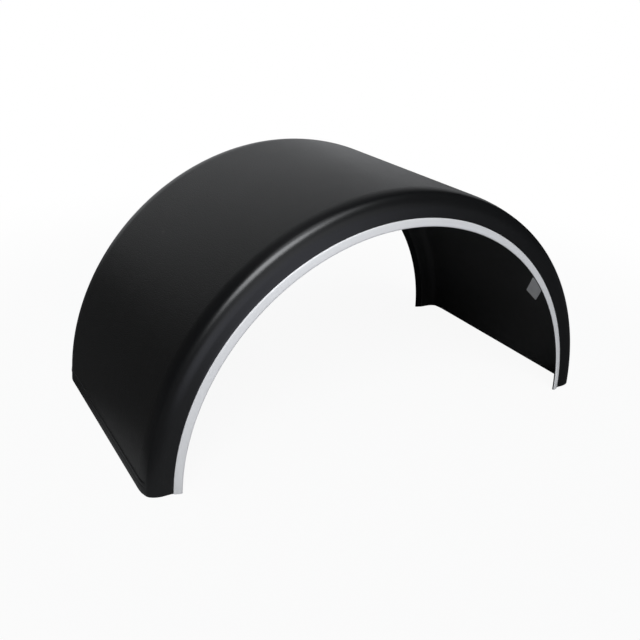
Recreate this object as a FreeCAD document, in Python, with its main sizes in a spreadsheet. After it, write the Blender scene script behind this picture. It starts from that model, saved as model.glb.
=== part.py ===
import FreeCAD, Part
import Sketcher
import math
import os

# Half-round mudguard for the twin wheels of one truck axle, in millimetres.
# X runs along the vehicle, Y along the axle and Z up. The feet stand on Z = 0, the middle of the arch is over
# the origin, and the trimmed flange faces -Y.
SIZES = {
    "crown_radius": 620.0,     # outer face of the arched wall, from the arch axis
    "centre_drop": 15.0,       # arch axis below the plane of the feet
    "guard_width": 646.0,      # over the outer edges of the two rims
    "wall_thickness": 4.0,
    "shoulder_across": 18.0,   # outer round between wall and flange, along the axle
    "shoulder_down": 34.0,     # the same round, down the flange
    "shoulder_radius": 12.0,   # its tight part by the wall; a wider arc runs on to the flange
    "flange_depth": 78.0,      # from the crown down to the free edge of a flange
    "rim_reach": 6.5,          # the rim turns out this far from the flange face
    "trim_width": 20.0,        # bright strip on the near rim
    "trim_thickness": 2.4,     # back to flat face
    "trim_edge": 1.2,          # height of its two long edges
    "trim_bevel": 2.5,         # width of the bevel from each edge to the face
    "trim_margin": 1.0,        # bare rim between the strip and the crease
    "lip_height": 9.0,         # flare along the bottom of each leg
    "lip_reach": 1.5,          # how far the flare stands out at the foot
    "lip_crest": 0.8,          # how far it stands out at its upper edge
    "lip_run_out": 15.0,       # length over which each end of the flare fades
    "groove_radius": 1.5,      # half-round groove above the flare
}
HALF_TURN = 180.0
# Numbers that a sketch gives its origin and vertical axis, and the points of a line or arc.
ORIGIN, VERTICAL_AXIS = range(-1, -3, -1)
START, END, CENTRE = range(1, 4)
NORMAL = FreeCAD.Vector(0, 0, 1)

doc = FreeCAD.newDocument("truck_mudguard")
sheet = doc.addObject("Spreadsheet::Sheet", "Sizes")
for row, (alias, value) in enumerate(SIZES.items(), start=1):
    sheet.set(f"A{row}", alias)
    sheet.set(f"B{row}", str(value))
    sheet.setAlias(f"B{row}", alias)
doc.recompute()


def size(alias):
    """Value of one cell of the sheet."""
    return float(getattr(sheet, alias))


def point(x, y):
    return FreeCAD.Vector(x, y, 0)


def line(start, end):
    return Part.LineSegment(start, end)


def arc(centre, radius, start, end):
    return Part.ArcOfCircle(Part.Circle(centre, NORMAL, radius), start, end)


def origin_plane(body, role):
    return next(item for item in body.Origin.OriginFeatures if item.Role == role)


def new_body(name):
    body = doc.addObject("PartDesign::Body", name)
    body.Label = name
    return body


def new_sketch(body, name, role):
    sketch = body.newObject("Sketcher::SketchObject", name)
    sketch.AttachmentSupport = [(origin_plane(body, role), "")]
    sketch.MapMode = "FlatFace"
    return sketch


def section_sketch(body, name):
    """Sketch of the arch's section at the crown: its horizontal axis is the arch axis."""
    sketch = new_sketch(body, name, "YZ_Plane")
    sketch.setExpression("AttachmentOffset.Base.y", "-Sizes.centre_drop")
    return sketch


def fix(sketch, kind, *where):
    sketch.addConstraint(Sketcher.Constraint(kind, *where))


def bind(sketch, name, expression, kind, *where):
    """Add a dimension and tie it to the sheet."""
    index = sketch.addConstraint(Sketcher.Constraint(kind, *where))
    sketch.renameConstraint(index, name)
    sketch.setExpression(f"Constraints.{name}", expression)


def revolve_half_turn(body, sketch, name):
    feature = body.newObject("PartDesign::Revolution", name)
    feature.Profile = sketch
    feature.ReferenceAxis = (sketch, ["H_Axis"])
    feature.Angle = HALF_TURN
    feature.Midplane = True
    return feature


def mirror(body, name, originals, role):
    feature = body.newObject("PartDesign::Mirrored", name)
    feature.Originals = originals
    feature.MirrorPlane = (origin_plane(body, role), [""])
    body.Tip = feature
    return feature


def cut_level(body, name):
    """Cut away everything below the plane of the feet."""
    sketch = new_sketch(body, name + "_outline", "XY_Plane")
    reach_x = 1.5 * size("crown_radius")
    reach_y = size("guard_width")
    corners = [point(-reach_x, -reach_y), point(reach_x, -reach_y),
               point(reach_x, reach_y), point(-reach_x, reach_y)]
    count = len(corners)
    for i in range(count):
        sketch.addGeometry(line(corners[i], corners[(i + 1) % count]))
    for i in range(count):
        fix(sketch, "Coincident", i, END, (i + 1) % count, START)
        fix(sketch, "Horizontal" if i % 2 == 0 else "Vertical", i)
    fix(sketch, "Symmetric", 0, START, 1, END, ORIGIN, START)
    bind(sketch, "length", "3 * Sizes.crown_radius", "DistanceX", 0, START, 0, END, 2 * reach_x)
    bind(sketch, "width", "2 * Sizes.guard_width", "DistanceY", 1, START, 1, END, 2 * reach_y)
    feature = body.newObject("PartDesign::Pocket", name)
    feature.Profile = sketch
    feature.Type = "ThroughAll"
    return feature


def rim_corner():
    """Outer corner of the near rim's free edge, the unit vector up its face, and how far up the crease is."""
    corner = point(-size("guard_width") / 2, size("crown_radius") - size("flange_depth"))
    slant = size("trim_width") + size("trim_margin")
    lean = size("rim_reach") / slant
    return corner, point(lean, math.sqrt(1 - lean ** 2)), slant


def shell_section(body):
    """Half of the moulding's section: wall, shoulder, flange and out-turned rim, of one thickness."""
    wall, crown = size("wall_thickness"), size("crown_radius")
    across, down, tight = size("shoulder_across"), size("shoulder_down"), size("shoulder_radius")
    edge, up, slant = rim_corner()
    crease = edge + up * slant
    face = crease.x
    wide = (across ** 2 + down ** 2 - 2 * down * tight) / (2 * (across - tight))
    by_wall = point(face + across, crown - tight)
    by_flange = point(face + wide, crown - down)
    joint = math.atan2(down - tight, across - wide)
    turn = wall * math.tan(math.asin(up.x) / 2)
    crease_inside = point(face + wall, crease.y - turn)
    edge_inside = crease_inside - up * ((crease_inside.y - edge.y) / up.y)
    sketch = section_sketch(body, "shell_section")
    sketch.addGeometry([
        line(point(0, crown), point(by_wall.x, crown)),
        arc(by_wall, tight, math.pi / 2, joint),
        arc(by_flange, wide, joint, math.pi),
        line(point(face, by_flange.y), crease),
        line(crease, edge),
        line(edge, edge_inside),
        line(edge_inside, crease_inside),
        line(crease_inside, point(face + wall, by_flange.y)),
        arc(by_flange, wide - wall, joint, math.pi),
        arc(by_wall, tight - wall, math.pi / 2, joint),
        line(point(by_wall.x, crown - wall), point(0, crown - wall)),
        line(point(0, crown - wall), point(0, crown)),
    ])
    outer_wall, outer_tight, outer_wide, outer_flange, outer_rim, free_edge = range(6)
    inner_rim, inner_flange, inner_wide, inner_tight, inner_wall, middle = range(6, 12)
    for first, second in ((outer_wall, outer_tight), (outer_tight, outer_wide), (outer_wide, outer_flange)):
        fix(sketch, "Tangent", first, END, second, START)
    fix(sketch, "Tangent", inner_flange, END, inner_wide, END)
    fix(sketch, "Tangent", inner_wide, START, inner_tight, END)
    fix(sketch, "Tangent", inner_tight, START, inner_wall, START)
    for first, second in ((outer_flange, outer_rim), (outer_rim, free_edge), (free_edge, inner_rim),
                          (inner_rim, inner_flange), (inner_wall, middle), (middle, outer_wall)):
        fix(sketch, "Coincident", first, END, second, START)
    for outer_round, inner_round in ((outer_tight, inner_tight), (outer_wide, inner_wide)):
        fix(sketch, "Coincident", outer_round, CENTRE, inner_round, CENTRE)
    for level in (outer_wall, inner_wall, free_edge):
        fix(sketch, "Horizontal", level)
    for upright in (outer_flange, inner_flange, middle):
        fix(sketch, "Vertical", upright)
    fix(sketch, "Parallel", outer_rim, inner_rim)
    fix(sketch, "PointOnObject", outer_wall, START, VERTICAL_AXIS)
    bind(sketch, "crown", "Sizes.crown_radius", "DistanceY", ORIGIN, START, outer_wall, START, crown)
    bind(sketch, "wall", "Sizes.wall_thickness", "DistanceY", middle, START, middle, END, wall)
    bind(sketch, "shoulder_across", "Sizes.shoulder_across", "DistanceX",
         outer_wide, END, outer_tight, START, across)
    bind(sketch, "shoulder_down", "Sizes.shoulder_down", "DistanceY",
         outer_wide, END, outer_tight, START, down)
    bind(sketch, "shoulder_radius", "Sizes.shoulder_radius", "Radius", outer_tight, tight)
    bind(sketch, "half_width", "Sizes.guard_width / 2", "DistanceX", free_edge, START, ORIGIN, START, -edge.x)
    bind(sketch, "flange", "Sizes.flange_depth", "DistanceY",
         free_edge, START, outer_wall, START, crown - edge.y)
    bind(sketch, "rim_reach", "Sizes.rim_reach", "DistanceX", outer_rim, END, outer_rim, START, face - edge.x)
    bind(sketch, "rim_width", "Sizes.trim_width + Sizes.trim_margin", "Distance", outer_rim, slant)
    bind(sketch, "rim_wall", "Sizes.wall_thickness", "Distance", inner_rim, END, outer_rim, wall)
    return sketch


FOOT_X = "sqrt(Sizes.crown_radius^2 - Sizes.centre_drop^2)"
FLAT_WIDTH = "(Sizes.guard_width - 2 * Sizes.rim_reach - 2 * Sizes.shoulder_across)"


def lip_outline(body, name, reach_alias, height_expression):
    """Level section of the flare: a long strip sunk in the wall, its ends slanted back into the shoulders."""
    sketch = new_sketch(body, name, "XY_Plane")
    sketch.setExpression("AttachmentOffset.Base.z", height_expression)
    foot = math.sqrt(size("crown_radius") ** 2 - size("centre_drop") ** 2)
    inside = foot - size("wall_thickness") / 2
    outside = foot + size(reach_alias)
    half = size("guard_width") / 2 - size("rim_reach") - size("shoulder_across")
    short = half - size("lip_run_out")
    corners = [point(inside, -half), point(outside, -short), point(outside, short), point(inside, half)]
    count = len(corners)
    for i in range(count):
        sketch.addGeometry(line(corners[i], corners[(i + 1) % count]))
    for i in range(count):
        fix(sketch, "Coincident", i, END, (i + 1) % count, START)
    lower_end, front, upper_end, back = range(count)
    fix(sketch, "Vertical", front)
    fix(sketch, "Vertical", back)
    bind(sketch, "sunk", f"{FOOT_X} - Sizes.wall_thickness / 2", "DistanceX",
         ORIGIN, START, back, START, inside)
    bind(sketch, "reach", f"{FOOT_X} + Sizes.{reach_alias}", "DistanceX",
         ORIGIN, START, front, START, outside)
    bind(sketch, "half", f"{FLAT_WIDTH} / 2", "DistanceY", ORIGIN, START, back, START, half)
    bind(sketch, "span", FLAT_WIDTH, "DistanceY", back, END, back, START, 2 * half)
    for fade, end in (("fade_low", lower_end), ("fade_high", upper_end)):
        bind(sketch, fade, "Sizes.lip_run_out", "DistanceY", end, START, end, END, half - short)
    return sketch


def foot_lip(body):
    """Flare along the bottom of one leg, thick at the foot and thin at its upper edge."""
    feature = body.newObject("PartDesign::AdditiveLoft", "foot_lip")
    feature.Profile = lip_outline(body, "lip_foot", "lip_reach", "0 * Sizes.lip_height")
    feature.Sections = [lip_outline(body, "lip_top", "lip_crest", "Sizes.lip_height")]
    feature.Ruled = True
    return feature


def foot_groove(body):
    """Half-round groove in the wall just above the flare."""
    sketch = new_sketch(body, "groove_section", "XZ_Plane")
    height = size("lip_height") + size("groove_radius")
    rise = "(Sizes.lip_height + Sizes.groove_radius)"
    across = math.sqrt(size("crown_radius") ** 2 - (height + size("centre_drop")) ** 2)
    sketch.addGeometry(Part.Circle(point(across, height), NORMAL, size("groove_radius")))
    bind(sketch, "radius", "Sizes.groove_radius", "Radius", 0, size("groove_radius"))
    bind(sketch, "height", rise, "DistanceY", ORIGIN, START, 0, CENTRE, height)
    bind(sketch, "across", f"sqrt(Sizes.crown_radius^2 - ({rise} + Sizes.centre_drop)^2)", "DistanceX",
         ORIGIN, START, 0, CENTRE, across)
    feature = body.newObject("PartDesign::Pocket", "foot_groove")
    feature.Profile = sketch
    feature.SideType = "Symmetric"
    feature.setExpression("Length", f"{FLAT_WIDTH} - 2 * Sizes.lip_run_out")
    return feature


def trim_section(body):
    """Section of the bright strip: flat back on the rim, low edges, bevels and a flat face."""
    width, edge_height = size("trim_width"), size("trim_edge")
    height, bevel = size("trim_thickness"), size("trim_bevel")
    corner, up, slant = rim_corner()
    out = point(-up.y, up.x)
    top = corner + up * width
    outline = [corner, top, top + out * edge_height, top - up * bevel + out * height,
               corner + up * bevel + out * height, corner + out * edge_height]
    count = len(outline)
    sketch = section_sketch(body, "trim_section")
    for i in range(count):
        sketch.addGeometry(line(outline[i], outline[(i + 1) % count]))
    for i in range(count):
        fix(sketch, "Coincident", i, END, (i + 1) % count, START)
    back, upper_edge, upper_bevel, face, lower_bevel, lower_edge = range(count)
    rim = sketch.addGeometry(line(corner, corner + up * slant), True)
    fix(sketch, "Coincident", back, START, rim, START)
    fix(sketch, "PointOnObject", back, END, rim)
    fix(sketch, "Perpendicular", back, upper_edge)
    fix(sketch, "Perpendicular", back, lower_edge)
    fix(sketch, "Equal", upper_edge, lower_edge)
    fix(sketch, "Equal", upper_bevel, lower_bevel)
    fix(sketch, "Parallel", back, face)
    bind(sketch, "half_width", "Sizes.guard_width / 2", "DistanceX", rim, START, ORIGIN, START, -corner.x)
    bind(sketch, "free_edge", "Sizes.crown_radius - Sizes.flange_depth", "DistanceY",
         ORIGIN, START, rim, START, corner.y)
    bind(sketch, "rim_width", "Sizes.trim_width + Sizes.trim_margin", "Distance", rim, slant)
    bind(sketch, "rim_reach", "Sizes.rim_reach", "DistanceX", rim, START, rim, END, size("rim_reach"))
    bind(sketch, "trim_width", "Sizes.trim_width", "Distance", back, width)
    bind(sketch, "trim_edge", "Sizes.trim_edge", "Distance", lower_edge, edge_height)
    bind(sketch, "trim_thickness", "Sizes.trim_thickness", "Distance", face, START, back, height)
    bind(sketch, "face_width", "Sizes.trim_width - 2 * Sizes.trim_bevel", "Distance", face, width - 2 * bevel)
    return sketch


def make_shell():
    body = new_body("mudguard_shell")
    near_half = revolve_half_turn(body, shell_section(body), "near_half")
    mirror(body, "both_halves", [near_half], "XZ_Plane")
    cut_level(body, "shell_feet")
    lip = foot_lip(body)
    groove = foot_groove(body)
    mirror(body, "both_legs", [lip, groove], "YZ_Plane")
    return body


def make_trim():
    body = new_body("edge_trim")
    revolve_half_turn(body, trim_section(body), "strip")
    cut_level(body, "trim_feet")
    return body


nodes = [make_shell(), make_trim()]
doc.recompute()

for item in doc.Objects:
    if "Invalid" in item.State or "Error" in item.State:
        raise RuntimeError(f"{item.Name} failed: {item.State}")
for node in nodes:
    if node.Shape.isNull() or not node.Shape.isValid() or len(node.Shape.Solids) != 1:
        raise RuntimeError(f"{node.Label} is not one valid solid")

os.makedirs("parts", exist_ok=True)
for node in nodes:
    node.Shape.exportStep(f"parts/{node.Label}.step")
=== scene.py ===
import math

import bmesh
import bpy
from mathutils import Matrix, Vector


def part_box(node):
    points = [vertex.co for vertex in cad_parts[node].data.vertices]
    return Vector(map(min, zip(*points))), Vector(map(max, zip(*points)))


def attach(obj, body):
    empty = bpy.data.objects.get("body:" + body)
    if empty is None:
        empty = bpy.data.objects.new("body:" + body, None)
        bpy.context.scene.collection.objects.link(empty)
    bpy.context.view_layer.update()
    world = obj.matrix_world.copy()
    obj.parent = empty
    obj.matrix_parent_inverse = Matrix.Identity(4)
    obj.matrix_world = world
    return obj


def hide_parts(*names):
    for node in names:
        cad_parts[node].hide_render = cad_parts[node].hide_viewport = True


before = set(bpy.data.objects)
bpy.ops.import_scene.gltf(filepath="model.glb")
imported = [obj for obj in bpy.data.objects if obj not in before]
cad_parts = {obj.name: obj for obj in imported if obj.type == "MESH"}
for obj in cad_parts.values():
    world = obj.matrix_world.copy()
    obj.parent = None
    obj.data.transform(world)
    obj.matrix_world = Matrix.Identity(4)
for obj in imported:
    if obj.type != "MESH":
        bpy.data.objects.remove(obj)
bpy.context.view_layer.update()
SHELL_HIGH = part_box("mudguard_shell")[1]

# Sizes of the guard in metres. X runs along the vehicle, Y along the axle, and the feet stand on Z = 0.
AXIS_DROP = 0.015            # arch axis below the plane of the feet
CROWN = SHELL_HIGH.z + AXIS_DROP
HALF_WIDTH = SHELL_HIGH.y    # middle of the guard to the edge of a rim
WALL = 0.004
SHOULDER_ACROSS = 0.018      # oval round between wall and flange, along the axle
SHOULDER_DOWN = 0.030        # and down the flange
KNEE_OUT = 0.034             # the wall bends down a little this far before the flange face
KNEE_BEND = math.radians(14.5)
KNEE_RADIUS = 0.128
FLANGE_DEPTH = 0.078
RIM_REACH = 0.0065
RIM_ROUND = 0.005            # round between flange and rim
EDGE_ROUND = 0.0011          # round of the rim's free edge
FOOT_ROUND = 0.0005          # round along the cut of each foot

# The bright strip
STRIP_WIDTH = 0.020
STRIP_MARGIN = 0.001
STRIP_INSET = 0.0005         # black line left at both edges of the strip's bed
STRIP_THICKNESS = 0.0024
STRIP_EDGE = 0.0012          # thickness at its edges
STRIP_BEVEL = 0.0025
STRIP_EDGE_ROUND = 0.0004
STRIP_FACE_ROUND = 0.0008
STRIP_FOOT_ROUND = 0.0003

# The lip along each foot, with a shallow groove over it
LIP_HEIGHT = 0.020
LIP_REACH = 0.00147          # at the bottom
LIP_CREST = 0.0008           # reach at its top
LIP_TOP = ((0.15, 0.65), (0.60, 1.02))    # round of the top as (down, out), in crests
LIP_RUN_OUT = 0.015
GROOVE_HALF = 0.0050         # half height of the groove
GROOVE_DEPTH = 0.0021

# The bare label inside the leg at +X
LABEL_ANGLE = math.radians(64.8)
LABEL_ACROSS = -0.1805
LABEL_LENGTH = 0.078
LABEL_HEIGHT = 0.040
LABEL_TURN = math.radians(34.0)
LABEL_THICKNESS = 0.0003
LABEL_CORNER = 0.003

# Derived places in the section
RIM_WIDTH = STRIP_WIDTH + STRIP_MARGIN
RIM_LEAN = math.asin(RIM_REACH / RIM_WIDTH)
FLANGE_FACE = HALF_WIDTH - RIM_REACH
FLAT_HALF = FLANGE_FACE - SHOULDER_ACROSS
KNEE = FLANGE_FACE - KNEE_OUT
KNEE_SPAN = KNEE_RADIUS * math.tan(KNEE_BEND / 2)    # from the knee to either end of its round
FREE_EDGE = CROWN - FLANGE_DEPTH

# Steps of the meshes
SWEEP_HALF = math.radians(84.5)
SWEEP_STEPS = 169
CLEAR_LEVEL = 0.034          # lowest full row above the groove
GROOVE_STEPS = 10
LABEL_STEPS = 16
CREASE = math.radians(38)    # sharper edges stay creased in the shading
MERGE = 1e-6

# Finish of the black plastic, with painted light on its inner faces
SMOOTH_BLACK = (0.0058, 0.0060, 0.0064)
GRAINED_BLACK = (0.0066, 0.0066, 0.0065)
# painted light: the inner faces get a lighter black that stands for bounce light
INSIDE_PAINTED_LIGHT_BLACK = (0.034, 0.034, 0.0345)
RUBBED_BLACK = (0.21, 0.21, 0.205)
SMOOTH_ROUGHNESS = 0.30
GRAINED_ROUGHER = 0.08
INSIDE_ROUGHER = 0.14
GRAIN_HALF = 0.279           # the moulded grain ends this far from the middle
GRAIN_FADE = 0.015           # and fades over this much to each side of its end

# Finish of the strip and of the label
SILVER = (0.70, 0.70, 0.71)
RUBBED_SILVER = (0.36, 0.36, 0.37)
SILVER_ROUGHNESS = 0.58
SILVER_METALLIC = 0.25
LINE_SCALE = 60.0            # scale of the strip's drawn lines across it
LABEL_GREY = (0.66, 0.66, 0.67)
LABEL_ROUGHNESS = 0.5

# The floor. Distances are from its middle, or from the middle of the painted reflection that mirrored rays
# see: a pale patch of painted light with painted shade around it.
FLOOR_RADIUS = 12
FLOOR_SIDES = 96
FLOOR_GREY = (0.5, 0.5, 0.5)
SHADOW_ENDS = (0.9, 2.2)     # the shadow fades between these
SHADOW_WHITE = 0.93          # share of white at its darkest
FRONT_STARTS = (0.7, 1.4)    # mirrored, the front turns white between these
FRONT_ANGLES = (38, 10)      # and between these angles to straight ahead
FRONT_TINT = (1.0, 1.03, 1.18)
# painted reflection: mirrored rays see a pale patch of painted light near the guard, with painted shade
# around it
PAINTED_REFLECTION_MIDDLE = (-0.15, -0.25, 0)
PAINTED_REFLECTION_ENDS = (0.45, 0.70)
PAINTED_REFLECTED_LIGHT = (0.22, 0.22, 0.22)
PAINTED_REFLECTED_SHADE = (0.05, 0.05, 0.05)

# The room, the lamp and the camera. Angles are in degrees.
COOL = (0.955, 0.975, 1.0)   # tint of the lamp and the room
WHITE = (1, 1, 1)
CAMERA_PLACE = (-1.04405, -1.67618, 1.04086)
CAMERA_HEADING = 31.225      # from straight back towards the right
CAMERA_DOWN = 23.676
CAMERA_ROLL = 3.079
CAMERA_LENS = 45.325
CAMERA_SENSOR = 36.0


def leaning(y, radius, lean, up, out):
    """Point of the near half's section, moved up the rim's face and out from it."""
    sine, cosine = math.sin(lean), math.cos(lean)
    return (y + up * sine - out * cosine, radius + up * cosine + out * sine)


def shell_outline():
    """Corners of the moulding's section as (y, radius), from the near free edge over the outside and back."""
    edge = (-HALF_WIDTH, FREE_EDGE)
    crease = leaning(*edge, RIM_LEAN, RIM_WIDTH, 0)
    turn = WALL * math.tan(RIM_LEAN / 2)
    crease_inside = (-FLANGE_FACE + WALL, crease[1] - turn)
    rim_inside = (crease_inside[1] - FREE_EDGE) * math.tan(RIM_LEAN)
    slope = math.tan(KNEE_BEND)
    knee_inside = (-KNEE + WALL * math.tan(KNEE_BEND / 2), CROWN - WALL)
    corner = (-FLANGE_FACE, CROWN - KNEE_OUT * slope)
    corner_inside = (crease_inside[0], knee_inside[1] - (knee_inside[0] - crease_inside[0]) * slope)
    outer = [edge, crease, corner, (-KNEE, CROWN)]
    inner = [knee_inside, corner_inside, crease_inside, (crease_inside[0] - rim_inside, FREE_EDGE)]
    return (outer + [(-y, r) for y, r in reversed(outer)]
            + [(-y, r) for y, r in reversed(inner)] + inner)


def strip_outline():
    """Corners of the bright strip's section, from the free edge of the rim up its back and down its face."""
    edge = (-HALF_WIDTH, FREE_EDGE)
    low, high = STRIP_INSET, STRIP_WIDTH - STRIP_INSET
    steps = [(low, 0), (high, 0), (high, STRIP_EDGE), (high - STRIP_BEVEL, STRIP_THICKNESS),
             (low + STRIP_BEVEL, STRIP_THICKNESS), (low, STRIP_EDGE)]
    return [leaning(*edge, RIM_LEAN, up, out) for up, out in steps]


def stretch_across(bm, factor):
    bmesh.ops.scale(bm, vec=(1, factor, 1), verts=bm.verts[:])


def section_face(bm, outline, rounds):
    """Section of a swept piece over the crown: one face, with some of its corners rounded.

    A round is the numbers of its corners, its reach across and down, and its segments. An oval one is cut as
    a circle while the section is stretched across.
    """
    corners = [bm.verts.new((0, y, radius - AXIS_DROP)) for y, radius in outline]
    bm.faces.new(corners)
    for indices, across, down, segments in rounds:
        stretch_across(bm, down / across)
        bmesh.ops.bevel(bm, geom=[corners[i] for i in indices], offset=down, offset_type="OFFSET",
                        affect="VERTICES", segments=segments, profile=0.5, material=-1)
        stretch_across(bm, across / down)


def sweep(bm):
    """Turn the section from one leg to the other about the arch axis."""
    axis_place = (0, 0, -AXIS_DROP)
    bmesh.ops.rotate(bm, verts=bm.verts[:], cent=axis_place, matrix=Matrix.Rotation(-SWEEP_HALF, 3, "Y"))
    bmesh.ops.spin(bm, geom=bm.faces[:] + bm.edges[:] + bm.verts[:], cent=axis_place, axis=(0, 1, 0),
                   angle=2 * SWEEP_HALF, steps=SWEEP_STEPS)


def lower_to(bm, end_face, level):
    """Carry one leg's end face down its arc to a level."""
    moved = bmesh.ops.extrude_face_region(bm, geom=[end_face])["geom"]
    bmesh.ops.delete(bm, geom=[end_face], context="FACES_ONLY")
    for vert in (item for item in moved if isinstance(item, bmesh.types.BMVert)):
        radius = math.hypot(vert.co.x, vert.co.z + AXIS_DROP)
        across = math.sqrt(radius ** 2 - (level + AXIS_DROP) ** 2)
        vert.co = (math.copysign(across, vert.co.x), vert.co.y, level)
    return next(item for item in moved if isinstance(item, bmesh.types.BMFace))


def stand_on_feet(bm, levels):
    """Finish both legs with level rows, and give back the two end faces."""
    ends = [face for face in bm.faces if len(face.verts) > 4]
    if len(ends) != 2:
        raise RuntimeError(f"a swept piece has {len(ends)} end faces")
    feet = []
    for face in ends:
        for level in levels:
            face = lower_to(bm, face, level)
        feet.append(face)
    return feet


def round_feet(bm, feet, radius):
    """Break the sharp edge round each end face."""
    edges = [edge for face in feet for edge in face.edges]
    bmesh.ops.bevel(bm, geom=edges, offset=radius, offset_type="OFFSET", affect="EDGES", segments=2,
                    profile=0.5, material=-1, clamp_overlap=False)


def foot_profile():
    """Rows of the foot as (height, reach): a shallow round groove over a flare along the bottom."""
    groove = LIP_HEIGHT + GROOVE_HALF
    rows = [(CLEAR_LEVEL, 0.0)]
    for step in range(GROOVE_STEPS + 1):
        angle = math.pi * step / GROOVE_STEPS
        rows.append((groove + GROOVE_HALF * math.cos(angle), -GROOVE_DEPTH * math.sin(angle)))
    for down, out in LIP_TOP:
        rows.append((LIP_HEIGHT - down * LIP_CREST, out * LIP_CREST))
    rows.append((LIP_HEIGHT / 2, (LIP_CREST + LIP_REACH) / 2))
    rows.append((0.0, LIP_REACH))
    return rows


def edge_drop(across):
    """How far the wall has bent down at a distance from the middle."""
    past = max(0.0, min(abs(across) - KNEE + KNEE_SPAN, 2 * KNEE_SPAN))
    return past ** 2 / (4 * KNEE_SPAN) * math.tan(KNEE_BEND)


def shape_feet(bm, rows):
    """Push the outer wall's rows out and in along the foot; both ends fade into the shoulders."""
    for vert in bm.verts:
        middle_of_wall = CROWN - WALL / 2 - edge_drop(vert.co.y)
        on_wall = math.hypot(vert.co.x, vert.co.z + AXIS_DROP) > middle_of_wall
        fade = min(1.0, (FLAT_HALF - abs(vert.co.y)) / LIP_RUN_OUT)
        if on_wall and vert.co.z < CLEAR_LEVEL and fade > 0:
            reach = min(rows, key=lambda row: abs(row[0] - vert.co.z))[1]
            vert.co.x += math.copysign(reach * fade, vert.co.x)


def add_object(name, data):
    """New object in the scene."""
    item = bpy.data.objects.new(name, data)
    bpy.context.scene.collection.objects.link(item)
    return item


def mesh_object(bm, name, material):
    """Make an object of a bmesh, and free the bmesh."""
    mesh = bpy.data.meshes.new(name)
    bm.to_mesh(mesh)
    bm.free()
    mesh.materials.append(material)
    return add_object(name, mesh)


def finish_piece(bm, name, material, body="root"):
    """Make a piece of a bmesh: smooth shaded, with its creases kept, riding on a body."""
    bmesh.ops.remove_doubles(bm, verts=bm.verts[:], dist=MERGE)
    bmesh.ops.recalc_face_normals(bm, faces=bm.faces[:])
    piece = mesh_object(bm, name, material)
    piece.data.shade_smooth()
    piece.data.set_sharp_from_angle(angle=CREASE)
    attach(piece, body)
    return piece


def make_shell(material):
    bm = bmesh.new()
    knee_inside = (KNEE_RADIUS - WALL) * math.tan(KNEE_BEND / 2)
    knees, inner_knees = (3, 4), (11, 12)
    shoulders, inner_shoulders = (2, 5), (10, 13)
    creases, free_edges = (1, 6, 9, 14), (0, 7, 8, 15)
    section_face(bm, shell_outline(), [
        (knees, KNEE_SPAN, KNEE_SPAN, 10),
        (inner_knees, knee_inside, knee_inside, 10),
        (shoulders, SHOULDER_ACROSS, SHOULDER_DOWN, 24),
        (inner_shoulders, SHOULDER_ACROSS - WALL, SHOULDER_DOWN - WALL, 24),
        (creases, RIM_ROUND, RIM_ROUND, 6),
        (free_edges, EDGE_ROUND, EDGE_ROUND, 3),
    ])
    sweep(bm)
    rows = foot_profile()
    feet = stand_on_feet(bm, [height for height, reach in rows])
    shape_feet(bm, rows)
    round_feet(bm, feet, FOOT_ROUND)
    piece = finish_piece(bm, "shell", material)
    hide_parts("mudguard_shell")


def make_strip(material):
    bm = bmesh.new()
    edges, face_corners = (2, 5), (3, 4)
    section_face(bm, strip_outline(), [
        (edges, STRIP_EDGE_ROUND, STRIP_EDGE_ROUND, 3),
        (face_corners, STRIP_FACE_ROUND, STRIP_FACE_ROUND, 4),
    ])
    sweep(bm)
    feet = stand_on_feet(bm, [CLEAR_LEVEL, 0.0])
    round_feet(bm, feet, STRIP_FOOT_ROUND)
    piece = finish_piece(bm, "strip", material)
    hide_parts("edge_trim")


def make_label(material):
    """Thin bare plate with round corners, turned on the wall's inner face and bent to it."""
    bm = bmesh.new()
    bmesh.ops.create_grid(bm, x_segments=1, y_segments=1, size=0.5)
    bmesh.ops.scale(bm, vec=(LABEL_LENGTH, LABEL_HEIGHT, 1), verts=bm.verts[:])
    bmesh.ops.bevel(bm, geom=bm.verts[:], offset=LABEL_CORNER, offset_type="OFFSET", affect="VERTICES",
                    segments=5, profile=0.5, material=-1)
    bmesh.ops.rotate(bm, verts=bm.verts[:], cent=(0, 0, 0), matrix=Matrix.Rotation(LABEL_TURN, 3, "Z"))
    reach = (LABEL_LENGTH + LABEL_HEIGHT) / 2
    for step in range(1, LABEL_STEPS):
        bmesh.ops.bisect_plane(bm, geom=bm.verts[:] + bm.edges[:] + bm.faces[:], dist=MERGE,
                               plane_co=(reach * (2 * step / LABEL_STEPS - 1), 0, 0), plane_no=(1, 0, 0))
    raised = bmesh.ops.extrude_face_region(bm, geom=bm.faces[:])["geom"]
    bmesh.ops.translate(bm, vec=(0, 0, LABEL_THICKNESS),
                        verts=[item for item in raised if isinstance(item, bmesh.types.BMVert)])
    inner_face = CROWN - WALL
    for vert in bm.verts:
        angle = LABEL_ANGLE + vert.co.x / inner_face
        radius = inner_face - vert.co.z
        vert.co = (radius * math.sin(angle), LABEL_ACROSS + vert.co.y, radius * math.cos(angle) - AXIS_DROP)
    finish_piece(bm, "label", material)


def node(tree, kind, settings=None, **inputs):
    """Add a node, set its own settings, and give its sockets a value or a link."""
    item = tree.nodes.new(kind)
    for name, value in (settings or {}).items():
        setattr(item, name, value)
    for name, value in inputs.items():
        socket = item.inputs[int(name[1:])] if name[1:].isdigit() else item.inputs[name.replace("_", " ")]
        if isinstance(value, bpy.types.NodeSocket):
            tree.links.new(value, socket)
        else:
            socket.default_value = value
    return item


def maths(tree, operation, first, second=0.0, third=0.0):
    return node(tree, "ShaderNodeMath", {"operation": operation}, i0=first, i1=second, i2=third).outputs[0]


def vector_maths(tree, operation, first, second=(0, 0, 0)):
    return node(tree, "ShaderNodeVectorMath", {"operation": operation}, i0=first, i1=second).outputs


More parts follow.
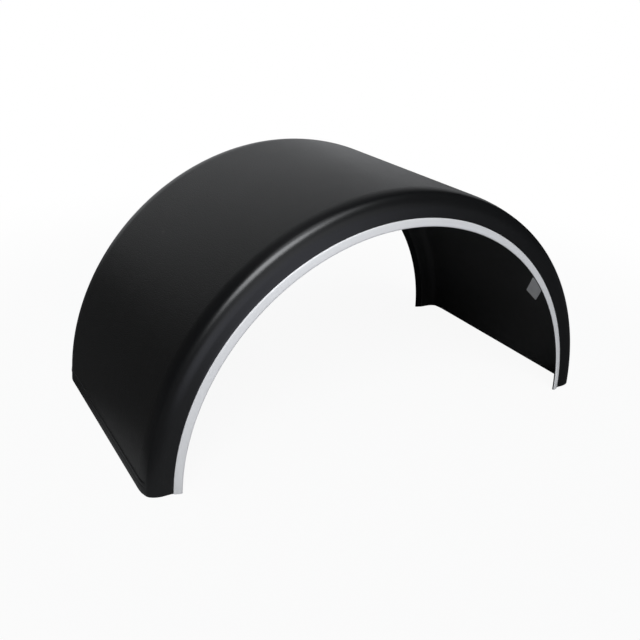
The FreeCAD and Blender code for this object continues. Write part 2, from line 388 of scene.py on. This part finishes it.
def between(tree, value, low, high, to_low=0.0, to_high=1.0):
    """Smooth step of a value from one number to another."""
    settings = {"interpolation_type": "SMOOTHSTEP"}
    return node(tree, "ShaderNodeMapRange", settings, Value=value, From_Min=low, From_Max=high,
                To_Min=to_low, To_Max=to_high).outputs[0]


def blend(tree, factor, first, second, mode="MIX"):
    item = node(tree, "ShaderNodeMix", {"data_type": "RGBA", "blend_type": mode}, i0=factor)
    for socket, value in ((item.inputs[6], first), (item.inputs[7], second)):
        if isinstance(value, bpy.types.NodeSocket):
            tree.links.new(value, socket)
        else:
            socket.default_value = (*value, 1)
    return item.outputs[2]


def new_group(name, inputs, outputs):
    """Empty shader group with named sockets."""
    group = bpy.data.node_groups.new(name, "ShaderNodeTree")
    for way, sockets in (("INPUT", inputs), ("OUTPUT", outputs)):
        for label, kind in sockets:
            group.interface.new_socket(label, in_out=way, socket_type=kind)
    return group, group.nodes.new("NodeGroupInput").outputs, group.nodes.new("NodeGroupOutput").inputs


def tone_group():
    """Soft clouding of a finish, as a tone about 1."""
    group, given, result = new_group(
        "soft_clouding",
        [("Place", "NodeSocketVector"), ("Fineness", "NodeSocketFloat"), ("Depth", "NodeSocketFloat")],
        [("Tone", "NodeSocketFloat")])
    cloud = node(group, "ShaderNodeTexNoise", Vector=given["Place"], Scale=given["Fineness"], Detail=5.0,
                 Roughness=0.6).outputs[0]
    swing = maths(group, "MULTIPLY_ADD", cloud, 2.0, -1.0)
    group.links.new(maths(group, "MULTIPLY_ADD", swing, given["Depth"], 1.0), result["Tone"])
    return group


def scuff_group():
    """Sparse small rubbed marks, as a mask."""
    group, given, result = new_group(
        "handling_scuffs",
        [("Place", "NodeSocketVector"), ("Spread", "NodeSocketFloat"), ("Share", "NodeSocketFloat")],
        [("Mask", "NodeSocketFloat")])
    cells = node(group, "ShaderNodeTexVoronoi", Vector=given["Place"], Scale=given["Spread"])
    close = between(group, cells.outputs["Distance"], 0.075, 0.02)
    pick = node(group, "ShaderNodeSeparateColor", Color=cells.outputs["Color"]).outputs[0]
    chosen = maths(group, "LESS_THAN", pick, given["Share"])
    breakup = node(group, "ShaderNodeTexNoise", Vector=given["Place"], Scale=420.0, Detail=3.0).outputs[0]
    rough = between(group, breakup, 0.44, 0.6)
    group.links.new(maths(group, "MULTIPLY", maths(group, "MULTIPLY", close, chosen), rough), result["Mask"])
    return group


def grain_group():
    """Pebbled moulding grain, as a height."""
    group, given, result = new_group(
        "pebble_grain", [("Place", "NodeSocketVector"), ("Fineness", "NodeSocketFloat")],
        [("Height", "NodeSocketFloat")])
    cells = node(group, "ShaderNodeTexVoronoi", {"feature": "SMOOTH_F1"}, Vector=given["Place"],
                 Scale=given["Fineness"], Smoothness=0.6).outputs["Distance"]
    waver = node(group, "ShaderNodeTexNoise", Vector=given["Place"], Scale=given["Fineness"],
                 Detail=4.0).outputs[0]
    height = maths(group, "MULTIPLY_ADD", waver, 0.6, maths(group, "MULTIPLY", cells, -0.8))
    group.links.new(height, result["Height"])
    return group


TONE, SCUFFS, GRAIN = tone_group(), scuff_group(), grain_group()


def use(tree, group, **inputs):
    return node(tree, "ShaderNodeGroup", {"node_tree": group}, **inputs).outputs[0]


def new_material(name):
    """Empty material: its tree, its shader and the place on the piece."""
    material = bpy.data.materials.new(name)
    material.use_nodes = True
    tree = material.node_tree
    return material, tree, tree.nodes["Principled BSDF"], node(tree, "ShaderNodeTexCoord").outputs["Object"]


def section_place(tree, place):
    """Distance from the arch axis, and distance along it."""
    axes = node(tree, "ShaderNodeSeparateXYZ", Vector=place).outputs
    upright = maths(tree, "ADD", axes["Z"], AXIS_DROP)
    flat = node(tree, "ShaderNodeCombineXYZ", X=axes["X"], Z=upright).outputs[0]
    return vector_maths(tree, "LENGTH", flat)["Value"], axes["Y"]


def bent_down(tree, across):
    """How far the wall has bent down at a distance from the middle, as edge_drop gives it."""
    past = maths(tree, "MAXIMUM", maths(tree, "SUBTRACT", across, KNEE - KNEE_SPAN), 0.0)
    square = maths(tree, "POWER", maths(tree, "MINIMUM", past, 2 * KNEE_SPAN), 2.0)
    return maths(tree, "MULTIPLY", square, math.tan(KNEE_BEND) / (4 * KNEE_SPAN))


def inside_mask(tree, radius, across):
    """1 on the inner faces of the shell and 0 on the outer ones, parted by an oval along the shoulder."""
    beside = maths(tree, "MAXIMUM", maths(tree, "SUBTRACT", across, FLAT_HALF), 0.0)
    above = maths(tree, "MAXIMUM", maths(tree, "SUBTRACT", radius, CROWN - SHOULDER_DOWN), 0.0)
    oval = []
    for reach, half in ((beside, SHOULDER_ACROSS - WALL / 2), (above, SHOULDER_DOWN - WALL / 2)):
        oval.append(maths(tree, "POWER", maths(tree, "DIVIDE", reach, half), 2.0))
    return between(tree, maths(tree, "ADD", *oval), 0.95, 0.88)


def moulded_plastic():
    """Black plastic: pebble grain over the outer wall, smooth shoulders and flanges, and a duller inside that
    is painted lighter as painted bounce light.
    """
    material, tree, shader, place = new_material("moulded_plastic")
    radius, along = section_place(tree, place)
    across = maths(tree, "ABSOLUTE", along)
    inside = inside_mask(tree, maths(tree, "ADD", radius, bent_down(tree, across)), across)
    middle = between(tree, across, GRAIN_HALF + GRAIN_FADE, GRAIN_HALF - GRAIN_FADE)
    grained = maths(tree, "MULTIPLY", maths(tree, "SUBTRACT", 1.0, inside), middle)
    tone = use(tree, TONE, Place=place, Fineness=9.0, Depth=0.08)
    fine = use(tree, TONE, Place=place, Fineness=260.0, Depth=0.22)
    scuffs = use(tree, SCUFFS, Place=place, Spread=14.0, Share=0.16)
    colour = blend(tree, grained, SMOOTH_BLACK, GRAINED_BLACK)
    # painted light: the inner faces are lightened to stand for bounce light
    colour = blend(tree, inside, colour, INSIDE_PAINTED_LIGHT_BLACK)
    shade = maths(tree, "MULTIPLY", tone, fine)
    colour = blend(tree, 1.0, colour, shade, "MULTIPLY")
    worn = maths(tree, "MULTIPLY", scuffs, 0.55)
    tree.links.new(blend(tree, worn, colour, RUBBED_BLACK), shader.inputs["Base Color"])
    finish = maths(tree, "MULTIPLY_ADD", grained, GRAINED_ROUGHER, SMOOTH_ROUGHNESS)
    finish = maths(tree, "MULTIPLY_ADD", inside, INSIDE_ROUGHER, finish)
    tree.links.new(maths(tree, "MULTIPLY", finish, tone), shader.inputs["Roughness"])
    height = maths(tree, "MULTIPLY", use(tree, GRAIN, Place=place, Fineness=380.0), grained)
    bump = node(tree, "ShaderNodeBump", Height=height, Strength=0.7, Distance=0.0008)
    tree.links.new(bump.outputs[0], shader.inputs["Normal"])
    return material


def silver_strip():
    """Satin silver-grey strip with faint lines drawn along its length."""
    material, tree, shader, place = new_material("silver_strip")
    radius, along = section_place(tree, place)
    drawn = node(tree, "ShaderNodeCombineXYZ", X=maths(tree, "MULTIPLY", radius, LINE_SCALE),
                 Y=maths(tree, "MULTIPLY", along, LINE_SCALE)).outputs[0]
    lines = use(tree, TONE, Place=drawn, Fineness=40.0, Depth=0.05)
    tone = use(tree, TONE, Place=place, Fineness=6.0, Depth=0.05)
    shade = maths(tree, "MULTIPLY", lines, tone)
    colour = blend(tree, 1.0, SILVER, shade, "MULTIPLY")
    scuffs = maths(tree, "MULTIPLY", use(tree, SCUFFS, Place=place, Spread=22.0, Share=0.12), 0.35)
    tree.links.new(blend(tree, scuffs, colour, RUBBED_SILVER), shader.inputs["Base Color"])
    tree.links.new(maths(tree, "MULTIPLY", lines, SILVER_ROUGHNESS), shader.inputs["Roughness"])
    shader.inputs["Metallic"].default_value = SILVER_METALLIC
    return material


def bare_label():
    """Plain grey film with a slight pebble."""
    material, tree, shader, place = new_material("bare_label")
    tone = use(tree, TONE, Place=place, Fineness=60.0, Depth=0.12)
    tree.links.new(blend(tree, 1.0, LABEL_GREY, tone, "MULTIPLY"), shader.inputs["Base Color"])
    tree.links.new(maths(tree, "MULTIPLY", tone, LABEL_ROUGHNESS), shader.inputs["Roughness"])
    bump = node(tree, "ShaderNodeBump", Height=use(tree, GRAIN, Place=place, Fineness=900.0), Strength=0.1,
                Distance=0.0002)
    tree.links.new(bump.outputs[0], shader.inputs["Normal"])
    return material


def shown_white(tree, mirrored):
    """Share of white: full for the camera and through glass, and as given for mirrored rays."""
    path = node(tree, "ShaderNodeLightPath").outputs
    seen = maths(tree, "MAXIMUM", path["Is Camera Ray"], path["Is Transmission Ray"])
    return maths(tree, "MAXIMUM", seen, maths(tree, "MULTIPLY", path["Is Glossy Ray"], mirrored))


def cosines(angles):
    return [math.cos(math.radians(angle)) for angle in angles]


def white_floor():
    """White ground that keeps a soft shadow near the feet. Mirrored, it is only white in front, and elsewhere
    it shows a painted reflection: a pale patch of painted light near the guard with painted shade around it.
    """
    material = bpy.data.materials.new("white_floor")
    material.use_nodes = True
    tree = material.node_tree
    tree.nodes.remove(tree.nodes["Principled BSDF"])
    place = node(tree, "ShaderNodeTexCoord").outputs["Object"]
    away = vector_maths(tree, "LENGTH", place)["Value"]
    ahead = vector_maths(tree, "NORMALIZE", place)["Vector"]
    facing = vector_maths(tree, "DOT_PRODUCT", ahead, (0, -1, 0))["Value"]
    sector = between(tree, facing, *cosines(FRONT_ANGLES))
    in_front = maths(tree, "MULTIPLY", sector, between(tree, away, *FRONT_STARTS))
    lit = between(tree, away, *SHADOW_ENDS, SHADOW_WHITE, 1.0)
    share = maths(tree, "MULTIPLY", lit, shown_white(tree, in_front))
    mirrored = node(tree, "ShaderNodeLightPath").outputs["Is Glossy Ray"]
    # painted reflection: mirrored rays see a pale patch of painted light near the guard and painted shade
    # around it
    aside = vector_maths(tree, "DISTANCE", place, PAINTED_REFLECTION_MIDDLE)["Value"]
    painted_reflection = blend(tree, between(tree, aside, *PAINTED_REFLECTION_ENDS), PAINTED_REFLECTED_LIGHT, PAINTED_REFLECTED_SHADE)
    paint = node(tree, "ShaderNodeBsdfDiffuse", Color=blend(tree, mirrored, FLOOR_GREY, painted_reflection)).outputs[0]
    tint = blend(tree, mirrored, WHITE, FRONT_TINT)
    white = node(tree, "ShaderNodeEmission", Color=tint, Strength=1.0).outputs[0]
    mixed = node(tree, "ShaderNodeMixShader", i0=share, i1=paint, i2=white).outputs[0]
    tree.links.new(mixed, tree.nodes["Material Output"].inputs["Surface"])
    return material


def make_floor():
    bm = bmesh.new()
    bmesh.ops.create_circle(bm, cap_ends=True, segments=FLOOR_SIDES, radius=FLOOR_RADIUS)
    floor = mesh_object(bm, "floor", white_floor())


def towards(azimuth, elevation):
    """Direction of an azimuth, counted from the back over the right, and an elevation."""
    azimuth, elevation = math.radians(azimuth), math.radians(elevation)
    level = math.cos(elevation)
    return (math.sin(azimuth) * level, math.cos(azimuth) * level, math.sin(elevation))


def glow(tree, around, azimuth, elevation, wide, narrow, strength):
    """Soft patch of light in the surroundings, from an angle where it ends to one where it is full."""
    facing = vector_maths(tree, "DOT_PRODUCT", around, towards(azimuth, elevation))["Value"]
    return between(tree, facing, *cosines((wide, narrow)), 0.0, strength)


def make_world():
    """Dark room with a soft box over the front, a pale front and a lit back wall. It shows as white."""
    world = bpy.data.worlds.new("studio")
    bpy.context.scene.world = world
    world.use_nodes = True
    tree = world.node_tree
    around = node(tree, "ShaderNodeTexCoord").outputs["Generated"]
    front = glow(tree, around, azimuth=171, elevation=0, wide=30, narrow=2, strength=1.0)
    box = glow(tree, around, azimuth=201, elevation=60, wide=28, narrow=23, strength=1.9)
    back = glow(tree, around, azimuth=12, elevation=8, wide=38, narrow=17, strength=0.58)
    horizon = glow(tree, around, azimuth=41, elevation=-2, wide=20, narrow=2, strength=0.42)
    top = glow(tree, around, azimuth=310, elevation=75, wide=22, narrow=8, strength=1.0)
    level = front
    for patch in (box, back, top, horizon):
        level = maths(tree, "ADD", level, patch)
    room = tree.nodes["Background"]
    tree.links.new(level, room.inputs["Strength"])
    room.inputs["Color"].default_value = (*COOL, 1)
    white = node(tree, "ShaderNodeBackground", Color=(*WHITE, 1)).outputs[0]
    share = shown_white(tree, 0.0)
    mixed = node(tree, "ShaderNodeMixShader", i0=share, i1=room.outputs[0], i2=white).outputs[0]
    tree.links.new(mixed, tree.nodes["World Output"].inputs["Surface"])


def make_key(azimuth, elevation, across, strength):
    """Large far lamp of one angle across, from over the front left."""
    data = bpy.data.lights.new("key", "SUN")
    data.angle, data.energy, data.color = math.radians(across), strength, COOL
    turn = Vector(towards(azimuth, elevation)).to_track_quat("Z", "Y")
    add_object("key", data).matrix_world = turn.to_matrix().to_4x4()


def make_camera():
    """Camera fitted to the photograph."""
    data = bpy.data.cameras.new("camera")
    data.sensor_width, data.lens = CAMERA_SENSOR, CAMERA_LENS
    camera = add_object("camera", data)
    turn = (Matrix.Rotation(-math.radians(CAMERA_HEADING), 4, "Z")
            @ Matrix.Rotation(math.pi / 2 - math.radians(CAMERA_DOWN), 4, "X")
            @ Matrix.Rotation(math.radians(CAMERA_ROLL), 4, "Z"))
    camera.matrix_world = Matrix.Translation(CAMERA_PLACE) @ turn
    bpy.context.scene.camera = camera


make_shell(moulded_plastic())
make_strip(silver_strip())
make_label(bare_label())
make_camera()
make_floor()
make_world()
make_key(azimuth=203.5, elevation=45.5, across=35.5, strength=2.15)
bpy.context.scene.view_settings.view_transform = "Standard"
